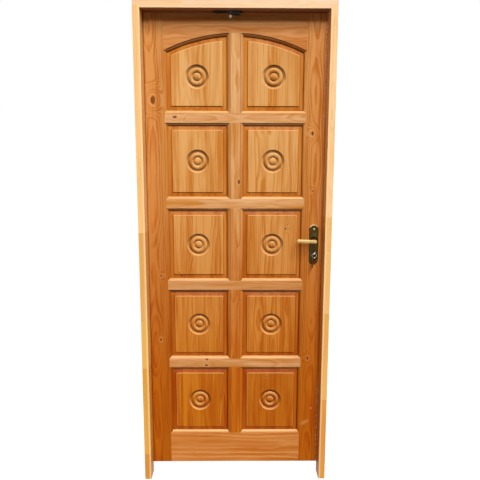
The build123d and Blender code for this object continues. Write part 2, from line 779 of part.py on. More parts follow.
# Handle plates: long, round-ended and bevelled, with a raised collar round the lever's neck
def handle_plate(name, back_y, front_y, outward, points):
    """Plate on one face of the leaf, pierced for the neck, the cylinder and two screws."""
    way = -outward
    with BuildPart() as plate:
        with BuildSketch(facing_front(lock_x, back_y, plate_z)):
            SlotOverall(plate_height, plate_width, rotation=90)
        extrude(amount=way * plate_thickness)
        rim = plate.faces().sort_by(Axis.Y)[0 if outward < 0 else -1].outer_wire().edges()
        chamfer(rim, plate_bevel)
        with BuildSketch(facing_front(lock_x, front_y, spindle_z)):
            Circle(collar_radius)
        extrude(amount=way * collar_height)
        with BuildSketch(facing_front(lock_x, back_y, spindle_z)):
            Circle(neck_radius + running_clearance)
        extrude(amount=2 * plate_thickness, both=True, mode=Mode.SUBTRACT)
        with BuildSketch(facing_front(lock_x, back_y, cylinder_z)):
            add(cylinder_profile(cylinder_hole_gap))
        extrude(amount=2 * plate_thickness, both=True, mode=Mode.SUBTRACT)
        screw_bodies(points, (0, outward, 0), running_clearance, Mode.SUBTRACT)
    save(plate.part, name)


handle_plate("front_plate", leaf_front_y, front_plate_y, -1, front_screw_points)
handle_plate("rear_plate", leaf_back_y, rear_plate_y, 1, rear_screw_points)

with BuildPart() as plate_screws:
    screw_bodies(front_screw_points, (0, -1, 0), 0, Mode.ADD)
    screw_bodies(rear_screw_points, (0, 1, 0), 0, Mode.ADD)
save(plate_screws.part, "plate_screws")


# Levers: a round neck through the plate and a rounded bar that lifts slightly to its tip
def lever(name, outward):
    """Lever on one face of the leaf, with a square socket for the spindle."""
    way = -outward
    grip_length = lever_reach - lever_height / 2
    tip_x = lock_x - grip_length * math.cos(math.radians(lever_lift_angle))
    tip_z = spindle_z + grip_length * math.sin(math.radians(lever_lift_angle))
    face_y = leaf_front_y if outward < 0 else leaf_back_y
    grip_back_y = face_y + outward * (lever_projection - lever_depth)
    neck_length = abs(grip_back_y - face_y) + lever_depth / 2
    with BuildPart() as bar:
        with BuildSketch(facing_front((lock_x + tip_x) / 2, grip_back_y, (spindle_z + tip_z) / 2)):
            SlotCenterToCenter(grip_length, lever_height, rotation=-lever_lift_angle)
        extrude(amount=way * lever_depth)
        fillet(bar.edges().filter_by(Plane.XZ), lever_rounding)
        with BuildSketch(facing_front(lock_x, face_y, spindle_z)):
            Circle(neck_radius)
        extrude(amount=way * neck_length)
        socket_width = spindle_width + 2 * spindle_gap
        with Locations((lock_x, face_y + outward * lever_socket_depth / 2, spindle_z)):
            Box(socket_width, lever_socket_depth, socket_width, mode=Mode.SUBTRACT)
    save(bar.part, name)


lever("front_lever", -1)
lever("rear_lever", 1)

with BuildPart() as spindle:
    with Locations((lock_x, leaf_mid_y, spindle_z)):
        Box(spindle_width, leaf_thickness + 2 * lever_socket_depth - 2 * fit_gap, spindle_width)
save(spindle.part, "spindle")

# Profile cylinder: through the lock from plate to plate, slotted in the middle for the cam
cylinder_front_y = front_plate_y - cylinder_proud
cylinder_back_y = rear_plate_y + cylinder_proud
cam_slot_half = cam_width / 2 + cam_side_gap
with BuildPart() as cylinder:
    with BuildSketch(facing_front(lock_x, cylinder_back_y, cylinder_z)):
        add(cylinder_profile(0))
    extrude(amount=cylinder_back_y - cylinder_front_y)
    slot_high = barrel_radius + overrun
    with Locations((lock_x, leaf_mid_y, cylinder_z + (slot_high - cam_bridge_drop) / 2)):
        Box(2 * slot_high, 2 * cam_slot_half, slot_high + cam_bridge_drop, mode=Mode.SUBTRACT)
    with BuildSketch(facing_front(lock_x, leaf_mid_y, cylinder_z)):
        Circle(plug_radius + running_clearance)
    extrude(amount=leaf_thickness, mode=Mode.SUBTRACT)
    with Locations((lock_x, cylinder_back_y, cylinder_z)):
        Box(keyway_width, cam_width, keyway_height, mode=Mode.SUBTRACT)
    with Locations(Plane(origin=(lock_x, leaf_mid_y, cylinder_screw_z), z_dir=(1, 0, 0))):
        Cylinder(cylinder_screw_radius + running_clearance, 2 * cylinder_screw_bite, mode=Mode.SUBTRACT)
save(cylinder.part, "cylinder")

with BuildPart() as cylinder_screw:
    with Locations(Plane(origin=(leaf_half, leaf_mid_y, cylinder_screw_z), z_dir=(1, 0, 0))):
        Cylinder(
            cylinder_screw_radius,
            backset + cylinder_screw_bite / 2,
            align=(Align.CENTER, Align.CENTER, Align.MAX),
        )
save(cylinder_screw.part, "cylinder_screw")


# Key and plug turn together about the cylinder's axis; the key's flat stands at the turned angle
turned_sine = math.sin(math.radians(key_turned_angle))
turned_cosine = math.cos(math.radians(key_turned_angle))
key_normal = (turned_cosine, 0, -turned_sine)


def turned_plane(y):
    """Plane facing the viewer on the cylinder's axis, turned with the key."""
    return Plane(origin=(lock_x, y, cylinder_z), x_dir=key_normal, z_dir=(0, -1, 0))


with BuildPart() as cylinder_plug:
    with BuildSketch(turned_plane(leaf_mid_y)):
        Circle(plug_radius)
    extrude(amount=leaf_mid_y - cylinder_front_y)
    with BuildSketch(turned_plane(leaf_mid_y)):
        Circle(cam_ring_radius)
        with Locations((-cam_reach / 2, 0)):
            Rectangle(cam_reach, cam_tooth_width)
    extrude(amount=cam_width / 2, both=True)
    with BuildSketch(turned_plane(cylinder_front_y)):
        Rectangle(keyway_width, keyway_height)
    extrude(amount=-keyway_depth, mode=Mode.SUBTRACT)
save(cylinder_plug.part, "cylinder_plug")


def key_flat(blade_length):
    """Flat of a key: local x runs from the tip of the bow towards the blade, local y across it."""
    with BuildSketch() as flat:
        Circle(key_bow_radius)
        blade_end = key_bow_offset + blade_length
        with Locations((blade_end / 2, 0)):
            Rectangle(blade_end, key_blade_height)
        with Locations((-key_hole_offset, 0)):
            Circle(key_hole_radius, mode=Mode.SUBTRACT)
    return flat.sketch


bow_y = cylinder_front_y - key_bow_offset
with BuildPart() as key:
    with BuildSketch(Plane(origin=(lock_x, bow_y, cylinder_z), x_dir=(0, 1, 0), z_dir=key_normal)):
        add(key_flat(key_blade_length))
    extrude(amount=key_thickness / 2, both=True)
save(key.part, "key")

# The ring hangs through the key's hole, and the spare key hangs on the ring, leaning a little
ring_y = bow_y - key_hole_offset
ring_z = cylinder_z - ring_radius
with BuildPart() as key_ring:
    with Locations(facing_front(lock_x, ring_y, ring_z)):
        Torus(ring_radius, ring_wire_radius)
save(key_ring.part, "key_ring")

lean_sine = math.sin(math.radians(spare_key_lean))
lean_cosine = math.cos(math.radians(spare_key_lean))
facing_sine = math.sin(math.radians(spare_key_angle))
facing_cosine = math.cos(math.radians(spare_key_angle))
spare_hang = key_hole_radius - ring_wire_radius - spare_key_seat_gap + key_hole_offset
spare_x = lock_x - spare_hang * lean_sine
spare_z = ring_z - ring_radius - spare_hang * lean_cosine
spare_down = (-lean_sine, 0, -lean_cosine)
spare_normal = (facing_sine * lean_cosine, -facing_cosine, -facing_sine * lean_sine)
with BuildPart() as spare_key:
    with BuildSketch(Plane(origin=(spare_x, ring_y, spare_z), x_dir=spare_down, z_dir=spare_normal)):
        add(key_flat(spare_blade_length))
    extrude(amount=key_thickness / 2, both=True)
save(spare_key.part, "spare_key")

# Catch: a slotted plate with a block under the head, and a ball stud on the leaf's face
catch_y = stop_back_y - catch_setback - catch_width / 2
with BuildPart() as catch_keeper:
    with BuildSketch(Plane.XY.offset(head_under)):
        with Locations((-catch_shift, catch_y)):
            SlotOverall(catch_length, catch_width)
        with Locations((-catch_shift - catch_slot_shift, catch_y)):
            SlotOverall(catch_slot_length, catch_slot_width, mode=Mode.SUBTRACT)
    extrude(amount=-catch_thickness)
    block_z = head_under - catch_thickness - catch_block_height / 2
    with Locations((catch_block_shift - catch_shift, catch_y, block_z)):
        Box(catch_block_length, catch_block_width, catch_block_height)
save(catch_keeper.part, "catch_keeper")

with BuildPart() as catch_stud:
    stud_z = head_under - stud_drop
    with BuildSketch(facing_front(stud_x, leaf_front_y, stud_z)):
        Circle(stud_base_radius)
    extrude(amount=stud_base_thickness)
    with BuildSketch(facing_front(stud_x, leaf_front_y, stud_z)):
        Circle(stud_neck_radius)
    extrude(amount=stud_reach)
    with Locations((stud_x, leaf_front_y - stud_reach, stud_z)):
        Sphere(stud_ball_radius)
save(catch_stud.part, "catch_stud")
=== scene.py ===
import json
import math

import bpy
import numpy as np
from mathutils import Matrix, Vector


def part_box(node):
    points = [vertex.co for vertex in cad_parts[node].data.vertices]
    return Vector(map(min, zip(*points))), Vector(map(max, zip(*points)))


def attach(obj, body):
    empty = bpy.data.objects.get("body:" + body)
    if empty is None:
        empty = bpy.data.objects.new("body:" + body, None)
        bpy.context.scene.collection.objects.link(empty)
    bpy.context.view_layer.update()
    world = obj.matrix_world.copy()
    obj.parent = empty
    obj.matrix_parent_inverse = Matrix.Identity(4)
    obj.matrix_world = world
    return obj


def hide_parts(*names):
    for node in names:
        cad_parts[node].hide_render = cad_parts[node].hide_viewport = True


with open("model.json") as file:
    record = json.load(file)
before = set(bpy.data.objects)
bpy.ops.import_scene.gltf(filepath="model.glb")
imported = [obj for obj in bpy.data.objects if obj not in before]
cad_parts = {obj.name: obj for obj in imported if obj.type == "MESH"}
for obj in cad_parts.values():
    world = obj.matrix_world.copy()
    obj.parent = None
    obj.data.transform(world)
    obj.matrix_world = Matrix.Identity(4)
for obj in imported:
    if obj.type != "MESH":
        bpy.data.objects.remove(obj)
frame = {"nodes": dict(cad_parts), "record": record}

for leftover in ("Cube", "Camera", "Light"):
    if leftover in bpy.data.objects:
        bpy.data.objects.remove(bpy.data.objects[leftover])
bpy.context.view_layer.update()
nodes = frame["nodes"]
rows = range(1, 6)
sides = ("left", "right")

# Places read from the frame, in metres
stile_low, stile_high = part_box("hinge_stile")
leaf_top = stile_high.z
leaf_front = stile_low.y
leaf_back = stile_high.y
leaf_middle = (leaf_front + leaf_back) / 2
leaf_half = (leaf_back - leaf_front) / 2
frame_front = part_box("head")[0].y

# Sizes that the solids have, in metres
opening_half = 0.388
head_under = 2.073
sticking_width = 0.010
stile_face = 0.097
top_rail_crown = 0.091
arch_rise = 0.071
spindle_x, spindle_z = 0.350, 1.116


def srgb(red, green, blue):
    """A colour as it looks on a screen, in 0 to 255, turned into linear light."""
    seen = np.array((red, green, blue)) / 255
    light = np.where(seen <= 0.04045, seen / 12.92, ((seen + 0.055) / 1.055) ** 2.4)
    return (*map(float, light), 1.0)


class Field:
    """One shader socket: arithmetic on it adds Math nodes, and node() adds any other node to its tree."""

    def __init__(self, tree, socket=None):
        self.tree = tree
        self.socket = socket

    def node(self, kind, settings=None, inputs=None, output=0):
        """Add a node, set its settings first, then set or link its sockets, and give one of its outputs."""
        made = self.tree.nodes.new(kind)
        for name, value in (settings or {}).items():
            setattr(made, name, value)
        for name, value in (inputs or {}).items():
            if isinstance(value, Field):
                self.tree.links.new(value.socket, made.inputs[name])
            else:
                made.inputs[name].default_value = value
        return Field(self.tree, made.outputs[output])

    def math(self, operation, *others):
        """A Math node whose first value is this one."""
        return self.node("ShaderNodeMath", {"operation": operation}, dict(enumerate((self, *others))))

    def __add__(self, other):
        return self.math("ADD", other)

    def __sub__(self, other):
        return self.math("SUBTRACT", other)

    def __mul__(self, other):
        return self.math("MULTIPLY", other)

    def __truediv__(self, other):
        return self.math("DIVIDE", other)

    def __pow__(self, other):
        return self.math("POWER", other)

    def __rsub__(self, other):
        return self.math("MULTIPLY_ADD", -1.0, other)

    __radd__ = __add__
    __rmul__ = __mul__

    def above(self, place):
        """One where this value is over a place, zero elsewhere."""
        return self.math("GREATER_THAN", place)

    def size(self):
        """This value without its sign."""
        return self.math("ABSOLUTE")

    def ease(self, start, end, low=0.0, high=1.0):
        """A smooth step from low to high between two places."""
        inputs = {"Value": self, "From Min": start, "From Max": end, "To Min": low, "To Max": high}
        return self.node("ShaderNodeMapRange", {"interpolation_type": "SMOOTHSTEP"}, inputs)

    def mix(self, first, second, blend="MIX"):
        """A colour between two, by this value as the factor."""
        settings = {"data_type": "RGBA", "blend_type": blend}
        return self.node("ShaderNodeMix", settings, {0: self, 6: first, 7: second}, 2)

    def scaled(self, colour, factors):
        """A colour with its three lights scaled."""
        settings = {"data_type": "RGBA", "blend_type": "MULTIPLY"}
        return self.node("ShaderNodeMix", settings, {0: 1.0, 6: colour, 7: (*factors, 1.0)}, 2)

    def attribute(self, name):
        """A value that the piece's points carry."""
        return self.node("ShaderNodeAttribute", {"attribute_name": name}, None, "Fac")

    def vector(self, x, y, z):
        """Three values as one vector."""
        return self.node("ShaderNodeCombineXYZ", None, {0: x, 1: y, 2: z})

    def noise(self, vector, detail, roughness):
        """Soft noise about one half, at one cycle per unit of the vector."""
        inputs = {"Vector": vector, "Scale": 1.0, "Detail": detail, "Roughness": roughness, "Distortion": 0.0}
        return self.node("ShaderNodeTexNoise", None, inputs)

    def place(self):
        """The point's own coordinates, in metres, as three values."""
        point = self.node("ShaderNodeTexCoord", None, None, "Object")
        return [point.node("ShaderNodeSeparateXYZ", None, {0: point}, axis) for axis in range(3)]


def length_of(first, second):
    """The length of the diagonal of two values."""
    return (first * first + second * second) ** 0.5


def start_material(name):
    """An empty node material, with its shader and output in place."""
    made = bpy.data.materials.new(name)
    made.use_nodes = True
    tree = made.node_tree
    tree.nodes.clear()
    shader = tree.nodes.new("ShaderNodeBsdfPrincipled")
    output = tree.nodes.new("ShaderNodeOutputMaterial")
    tree.links.new(shader.outputs[0], output.inputs["Surface"])
    return made, Field(tree), shader


def feed(field, shader, name, value):
    """Link a value to one of the shader's sockets."""
    field.tree.links.new(value.socket, shader.inputs[name])


# Wood: colours, and the factors that make a tone's pale and deep grain
pale_lift = (1.13, 1.30, 1.70)
deep_fall = (0.84, 0.64, 0.26)
margin_stain = (0.92, 0.64, 0.20)
knot_colour = srgb(92, 46, 28)
knot_rim_colour = srgb(232, 176, 118)
# Colour of the painted shade in the panels' hollows, beside the hinge jamb and along the muntins
painted_shade_colour = srgb(34, 9, 1)
# Colour and share of the painted highlight on panel slopes and edges that face the light
painted_highlight_colour = srgb(246, 184, 116)
painted_highlight_share = 0.80
tone_high = 1.85
tone_low = 0.30

# Wood: cycles per metre along the grain and across it, with the noise's detail and roughness
fibre_pitch = 0.0011
wander_pattern = (1.6, 5.0, 1.5, 0.45)
taper_pattern = (2.3, 3.0, 2.0, 0.5)
grit_pattern = (14.0, 90.0, 2.0, 0.55)
streak_pattern = (3.2, 46.0, 3.0, 0.6)
band_pattern = (1.1, 11.0, 2.0, 0.5)
fibre_pattern = (26.0, 1 / fibre_pitch, 2.0, 0.6)
taper_aside = 7.0
wander_reach = 0.035
taper_reach = 0.050
ring_grit = 0.5
late_wood_start = (0.15, 0.82)
late_wood_end = (0.88, 1.0)
faintest_ring = 0.3

# Wood: how much each pattern deepens the tone
middle_deepness = 0.44
streak_weight = 1.9
band_weight = 1.5
fibre_weight = 0.35
ring_weight = 0.75
ring_mean = 0.26

# Wood: where the pith may lie, and how glued strips and finger-jointed lengths differ
grain_shifts = (0, 40)
pith_sideways = (-0.03, 0.03)
pith_depths = (0.035, 0.075)
strip_pith_sideways = (-0.07, 0.07)
strip_pith_depths = (-0.02, 0.03)
length_pith_sideways = (-0.02, 0.02)
shift_steps = (3, 9)
strip_spread = 0.22
finger_pitch = 0.0110
finger_length = 0.014

# Wood: varnish
varnish_roughness = 0.38
varnish_gloss = 0.12
late_wood_roughness = 0.10
fibre_roughness = 0.12
relief_strength = 0.20
relief_depth = 0.0006

# Knots: how long they are drawn along the grain, and reaches in radii
knot_stretch = 0.60
knot_push = 3.0
knot_push_reach = (0.6, 5.5)
knot_heart_edge = (0.75, 1.10)
knot_rim_start = (1.0, 1.25)
knot_rim_end = (1.3, 2.0)
knot_rim_share = 0.35
knot_heart_share = 0.80
knot_grit = 0.5


def start_wood(name, grain):
    """Material, shader and place of a piece of wood: along the grain, across it and through its thickness."""
    made, field, shader = start_material(name)
    x, y, z = field.place()
    along, across = (z, x) if grain == "Z" else (x, z)
    return made, field, shader, along, across, y


def knots_in(along, across, knots):
    """How far knots push the rings aside, and where their dark heart and their pale rim are."""
    push, heart, rim = 0.0, 0.0, 0.0
    for knot_along, knot_across, knot_radius in knots:
        away = length_of((along - knot_along) * knot_stretch, across - knot_across) / knot_radius
        push = away.ease(*knot_push_reach, knot_radius * knot_push, 0.0) + push
        heart = away.ease(*knot_heart_edge, 1.0, 0.0) + heart
        rim = away.ease(*knot_rim_start) * away.ease(*knot_rim_end, 1.0, 0.0) + rim
    return push, heart, rim


def wood(name, grain, tone, seed, low_tone=None, glued=(), joints=(), knots=(), ring_contrast=1.0,
         contrast=1.0, wild=1.0, ring_spacing=0.0055, ring_sharpness=1.0, painted_shade=False, marks=None):
    """Varnished pine. Growth rings are shells about a wandering pith, cut by the piece's faces, and knots
    push them aside; long streaks and fine fibres run with the grain. Glued strips and finger-jointed lengths
    each have a pith and a tone of their own, and the tone may change from the leaf's top to its foot."""
    made, field, shader, along, across, depth = start_wood(name, grain)
    draw = np.random.default_rng(seed)

    def any_of(limits):
        """A random number between two limits."""
        return float(draw.uniform(*limits))

    def grain_noise(pattern, aside=0.0):
        """Soft noise about zero, drawn out along the grain."""
        along_rate, across_rate, detail, roughness = pattern
        drawn = field.vector(along * along_rate + shift, across * across_rate + aside, depth * across_rate)
        return field.noise(drawn, detail, roughness) - 0.5

    low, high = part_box(name)
    centre = (low.x + high.x) / 2 if grain == "Z" else (low.z + high.z) / 2
    shift = any_of(grain_shifts)
    pith_across = centre + any_of(pith_sideways)
    pith_depth = any_of(pith_depths)
    tones = draw.uniform(-strip_spread, strip_spread, len(glued) + 1)
    tones = tones - tones.mean()
    strip_tone = float(tones[0])
    for place, change in zip(glued, np.diff(tones)):
        mask = across.above(place)
        pith_across = mask * any_of(strip_pith_sideways) + pith_across
        pith_depth = mask * any_of(strip_pith_depths) + pith_depth
        shift = mask * any_of(shift_steps) + shift
        strip_tone = mask * float(change) + strip_tone

    base = tone
    if low_tone:
        base = field.place()[2].ease(tone_high, tone_low).mix(tone, low_tone)
    finger = (depth / finger_pitch).math("PINGPONG", 0.5) * finger_length
    for place, joint_tone in joints:
        mask = (along + finger).math("LESS_THAN", place)
        base = mask.mix(base, joint_tone)
        shift = mask * any_of(shift_steps) + shift
        pith_across = mask * any_of(length_pith_sideways) + pith_across

    push, heart, rim = knots_in(along, across, knots)
    sideways = across - pith_across + grain_noise(wander_pattern) * (wander_reach * wild)
    inward = depth + pith_depth + grain_noise(taper_pattern, taper_aside) * (taper_reach * wild)
    grit = grain_noise(grit_pattern)
    phase = (length_of(sideways, inward) + push) / ring_spacing + grit * ring_grit
    ring = phase.math("FRACT")
    strength = field.node("ShaderNodeTexWhiteNoise", {"noise_dimensions": "1D"}, {"W": phase.math("FLOOR")})
    late = (ring.ease(*late_wood_start) * ring.ease(*late_wood_end, 1.0, 0.0)) ** ring_sharpness
    late = late * (strength * (1 - faintest_ring) + faintest_ring)

    fibre = grain_noise(fibre_pattern)
    deepness = (middle_deepness + grain_noise(streak_pattern) * (streak_weight * contrast)
                + (late - ring_mean) * (ring_weight * ring_contrast)
                + grain_noise(band_pattern) * (band_weight * contrast)
                + strip_tone + fibre * (fibre_weight * contrast))
    deepness = deepness.math("MAXIMUM", 0.0).math("MINIMUM", 1.0)
    colour = deepness.mix(field.scaled(base, pale_lift), field.scaled(base, deep_fall))
    if knots:
        colour = (rim * knot_rim_share).mix(colour, knot_rim_colour)
        heart_share = heart.math("MINIMUM", 1.0) * (knot_heart_share + grit * knot_grit)
        colour = heart_share.mix(colour, knot_colour)
    if marks:
        colour = marks(field, along, across, depth, colour)
    # Panels: painted highlights on slopes facing the light, the margins' stain, and painted shade in the
    # hollows
    if painted_shade:
        colour = (field.attribute("painted_highlight") * painted_highlight_share).mix(colour, painted_highlight_colour)
        colour = field.attribute("stain").mix(colour, (*margin_stain, 1.0), "MULTIPLY")
        colour = field.attribute("painted_shade").mix(colour, painted_shade_colour)
    feed(field, shader, "Base Color", colour)
    feed(field, shader, "Roughness", varnish_roughness + late * late_wood_roughness + fibre * fibre_roughness)
    relief = {"Strength": relief_strength, "Distance": relief_depth, "Height": fibre * 0.5 - late * 0.5}
    feed(field, shader, "Normal", field.node("ShaderNodeBump", None, relief))
    shader.inputs["Specular IOR Level"].default_value = varnish_gloss
    return made


# Metals
patch_rate = 60.0
patch_detail = (4.0, 0.62)
patch_edge = (-0.12, 0.22)
scratch_across_rate = 900.0
scratch_along_rate = 120.0
scratch_detail = (2.0, 0.6)
patch_roughness = 0.25
scratch_roughness = 0.12
scratch_strength = 0.12
scratch_depth = 0.0003


def metal(name, colour, worn_colour, roughness, patch_share, metallic=1.0, marks=None):
    """Metal with a tarnish of soft patches, fine scratches and grease that dulls it unevenly."""
    made, field, shader = start_material(name)
    x, y, z = field.place()
    patches = field.noise(field.vector(x * patch_rate, y * patch_rate, z * patch_rate), *patch_detail)
    scratched = field.vector(x * scratch_across_rate, y * scratch_across_rate, z * scratch_along_rate)
    scratches = field.noise(scratched, *scratch_detail)
    worn = patches.ease(patch_share + patch_edge[0], patch_share + patch_edge[1])
    patina = worn.mix(colour, worn_colour)
    feed(field, shader, "Base Color", marks(field, x, z, patina) if marks else patina)
    dullness = roughness + (patches - 0.5) * patch_roughness + (scratches - 0.5) * scratch_roughness
    feed(field, shader, "Roughness", dullness)
    relief = {"Strength": scratch_strength, "Distance": scratch_depth, "Height": scratches}
    feed(field, shader, "Normal", field.node("ShaderNodeBump", None, relief))
    shader.inputs["Metallic"].default_value = metallic
    return made


# Meshes
softened_width = 0.0004
softened_angle = math.radians(38)
weld_reach = 0.00001
sharp_angle = math.radians(32)


def dress(node, material):
    """Give a solid its finish."""
    mesh = nodes[node].data
    mesh.materials.clear()
    mesh.materials.append(material)


def soften(node):
    """Ease a solid's sharp edges with a narrow bevel."""
    weld = nodes[node].modifiers.new("join", "WELD")
    weld.merge_threshold = weld_reach
    bevel = nodes[node].modifiers.new("ease", "BEVEL")
    bevel.width = softened_width
    bevel.segments = 2
    bevel.limit_method = "ANGLE"
    bevel.angle_limit = softened_angle
    bevel.harden_normals = True


def add_mesh(name, points, faces, material, body):
    """A finished piece from arrays of points and four-sided faces."""
    mesh = bpy.data.meshes.new(name)
    mesh.from_pydata(points.tolist(), [], faces.tolist())
    mesh.materials.append(material)
    mesh.shade_smooth()
    mesh.set_sharp_from_angle(angle=sharp_angle)
    piece = bpy.data.objects.new(name, mesh)
    bpy.context.scene.collection.objects.link(piece)
    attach(piece, body)
    return piece


def ring_faces(rings, around):
    """Quads between neighbouring closed rings of equal count."""
    ring, step = np.meshgrid(np.arange(rings - 1), np.arange(around), indexing="ij")
    after = (step + 1) % around
    quads = np.stack([ring * around + step, ring * around + after,
                      (ring + 1) * around + after, (ring + 1) * around + step], -1)
    return quads.reshape(-1, 4)


# Panels: sizes, as the solids have them, with finer rounds
tongue_reach = 0.0114
tongue_half = 0.0057
mouth_overlap = 0.0006
foot_rounds = ((0.0012, 0.0004), (0.0036, 0.0012))
margin_width = 0.019
margin_half = 0.012
step_rounds = ((0.0034, 0.0011), (0.0014, 0.0004))
step_foot = (0.0002, 0.0012)
step_lean = 0.0004
field_half = 0.015
field_round = 0.0009
field_lip = 0.004
side_steps = 26
stile_line = -stile_low.x - stile_face
arch_radius = (stile_line**2 + arch_rise**2) / (2 * arch_rise)
arch_centre = leaf_top - top_rail_crown - arch_radius

# Rosettes
rosette_radius = 0.050
rosette_depth = 0.006
rosette_outer_groove_share = 0.78
rosette_inner_groove_share = 0.35
rosette_crest_share = 0.94
rosette_rim_gap = 0.0012
rosette_steps = 10
top_rosette_rise = 0.150

# Painted shade in the panels' hollows, stain on the margins, and painted highlights on edges that face the
# light: weights for the foot, the right, the top, the left
# The painted light on the rosettes comes from above, turned 14 degrees to the right
painted_light_from = np.array((math.sin(math.radians(14)), math.cos(math.radians(14))))
underside_shade = 1.00
groove_shade = 0.42
groove_steepness = 6
highlight_power = 0.7
foot_shade_weights = (0.30, 1.00, 1.00, 0.15)
step_shade_weights = (1.00, 0.45, 0.05, 0.60)
margin_shade_weights = (0.00, 0.00, 0.22, 0.00)
margin_stain_weights = (0.90, 0.75, 1.00, 0.85)
arris_highlight_weights = (0.10, 0.20, 0.90, 0.45)
margin_shade_ends = (0.002, margin_width - 0.001)
margin_stain_end = margin_width + 0.0003
arris_end = margin_width + step_lean + 0.003

# Panels: tones of the top and the foot, and knots by place along the grain, place across it, radius
panel_top_tone = srgb(217, 154, 83)
panel_low_tone = srgb(188, 104, 16)
darker_panel_tones = {"panel_right_5": srgb(180, 95, 12)}
panel_knots = {"panel_right_3": [(1.165, 0.224, 0.004)], "panel_right_5": [(0.470, 0.146, 0.003)],
               "panel_left_3": [(0.950, -0.242, 0.004)]}
strip_first_shares = (0.16, 0.36, 0.58, 0.78)
strip_last_shares = (0.24, 0.50, 0.68, 0.88)
panel_seed = 200


def panel_wood(name, side, row):
    """Edge-glued upright strips, paler in the upper panels and deeper in the lower ones."""
    low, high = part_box(name)
    seed = panel_seed + row * 2 + (side == "right")
    shares = np.sort(np.random.default_rng(seed).uniform(strip_first_shares, strip_last_shares))
    glued = [low.x + (high.x - low.x) * float(share) for share in shares]
    low_tone = darker_panel_tones.get(name, panel_low_tone)
    rows_down = row - 1
    return wood(name, "Z", panel_top_tone, seed, low_tone, glued, knots=panel_knots.get(name, ()),
                ring_contrast=0.75 + 0.15 * rows_down, contrast=1.0 + 0.2 * rows_down, wild=0.9, painted_shade=True)


def panel_outline(low, high, arched, inset):
    """Closed outline, set in from the opening: straight sides, and for the top panels an arc above.
    Each side is divided into equal shares, so that outlines of every inset match point for point."""
    share = np.linspace(0, 1, side_steps, endpoint=False)
    x0, x1 = low[0] + inset, high[0] - inset
    z0 = low[1] + inset
    if arched:
        reach = arch_radius - sticking_width - inset
        top0 = arch_centre + math.sqrt(reach**2 - x0**2)
        top1 = arch_centre + math.sqrt(reach**2 - x1**2)
    else:
        top0 = top1 = high[1] - inset
    top_x = x1 + (x0 - x1) * share
    top_z = arch_centre + np.sqrt(reach**2 - top_x**2) if arched else np.full(side_steps, top1)
    outline_x = np.concatenate([x0 + (x1 - x0) * share, np.full(side_steps, x1), top_x,
                                np.full(side_steps, x0)])
    outline_z = np.concatenate([np.full(side_steps, z0), z0 + (top1 - z0) * share, top_z,
                                top0 + (z0 - top0) * share])
    return np.stack([outline_x, outline_z], -1)


def panel_profile():
    """Points from the tongue's edge to the field: distance in from the opening, height over the panel's
    middle plane, and how much painted shade the point takes. The margin slopes up from the tongue to a small
    step."""
    field_inset = margin_width + step_lean
    return np.array([(-tongue_reach, tongue_half, 0.3), (-mouth_overlap, tongue_half, 0.9),
                     (foot_rounds[0][0], tongue_half + foot_rounds[0][1], 0.9),
                     (foot_rounds[1][0], tongue_half + foot_rounds[1][1], 0.15),
                     (margin_width * 0.5, (tongue_half + margin_half) / 2, 0.0),
                     (margin_width - step_rounds[0][0], margin_half - step_rounds[0][1], 0.1),
                     (margin_width - step_rounds[1][0], margin_half - step_rounds[1][1], 0.9),
                     (margin_width, margin_half, 1.0),
                     (margin_width + step_foot[0], margin_half + step_foot[1], 0.9),
                     (field_inset, field_half - field_round, 0.0),
                     (field_inset + field_round * 0.3, field_half - field_round * 0.3, 0.0),
                     (field_inset + field_round, field_half, 0.0),
                     (field_inset + field_lip, field_half, 0.0)])


def rosette_profile(steps):
    """Radius and depth of the turned rosette, from its rim to its middle: a quarter ellipse down into the
    outer groove, half an ellipse over the bead, and a quarter ellipse from the inner groove to the button."""
    quarter = np.linspace(0, np.pi / 2, steps)
    half = np.linspace(0, np.pi, 2 * steps)
    outer, inner = rosette_outer_groove_share * rosette_radius, rosette_inner_groove_share * rosette_radius
    crest = rosette_depth * rosette_crest_share
    radii = np.concatenate([outer + (rosette_radius - outer) * np.cos(quarter),
                            (outer + inner) / 2 + (outer - inner) / 2 * np.cos(half),
                            inner * np.cos(quarter)])
    sinks = np.concatenate([rosette_depth * np.sin(quarter),
                            rosette_depth - crest * np.sin(half),
                            rosette_depth - crest * np.sin(quarter)])
    return radii, sinks


def by_side(weights):
    """A weight for each point of an outline, from the weights of its four sides."""
    return np.repeat(weights, side_steps)


def edge_light_and_stain(profile):
    """Painted shade in the hollows, stain on the margin and a painted highlight on the arris, for each ring
    and point.
    """
    inset, shade_taken = profile[:, :1], profile[:, 2:3]
    weights = np.where(inset < margin_width * 0.5, by_side(foot_shade_weights), by_side(step_shade_weights))
    on_margin = (inset > margin_shade_ends[0]) & (inset < margin_shade_ends[1])
    shade = np.maximum(shade_taken * weights, on_margin * by_side(margin_shade_weights))
    stain = ((inset > 0) & (inset < margin_stain_end)) * by_side(margin_stain_weights)
    highlight = ((inset > margin_stain_end) & (inset < arris_end)) * by_side(arris_highlight_weights)
    return shade, stain, highlight


def rosette_painted_light(radii, sinks, towards):
    """Painted shade and painted highlights on the rosette, by how far its slope looks away from the painted
    light or towards it, with more painted shade at the bottom of the grooves."""
    fall = np.gradient(sinks)
    slope = fall / np.maximum(np.hypot(np.gradient(radii), fall), 1e-9)
    facing = slope[:, None] * (towards @ painted_light_from)
    grooves = np.clip((sinks / rosette_depth - 1) * groove_steepness + 1, 0, 1)[:, None]
    shade = np.clip(underside_shade * np.sqrt(np.clip(facing, 0, 1)) + groove_shade * grooves, 0, 1)
    return shade, np.clip(-facing, 0, 1) ** highlight_power


def panel_face(rings, sign, heights):
    """Points of one face of a panel, from the tongue to the middle."""
    level = np.broadcast_to((leaf_middle + sign * heights)[:, None], rings.shape[:2])
    return np.stack([rings[..., 0], level, rings[..., 1]], -1)


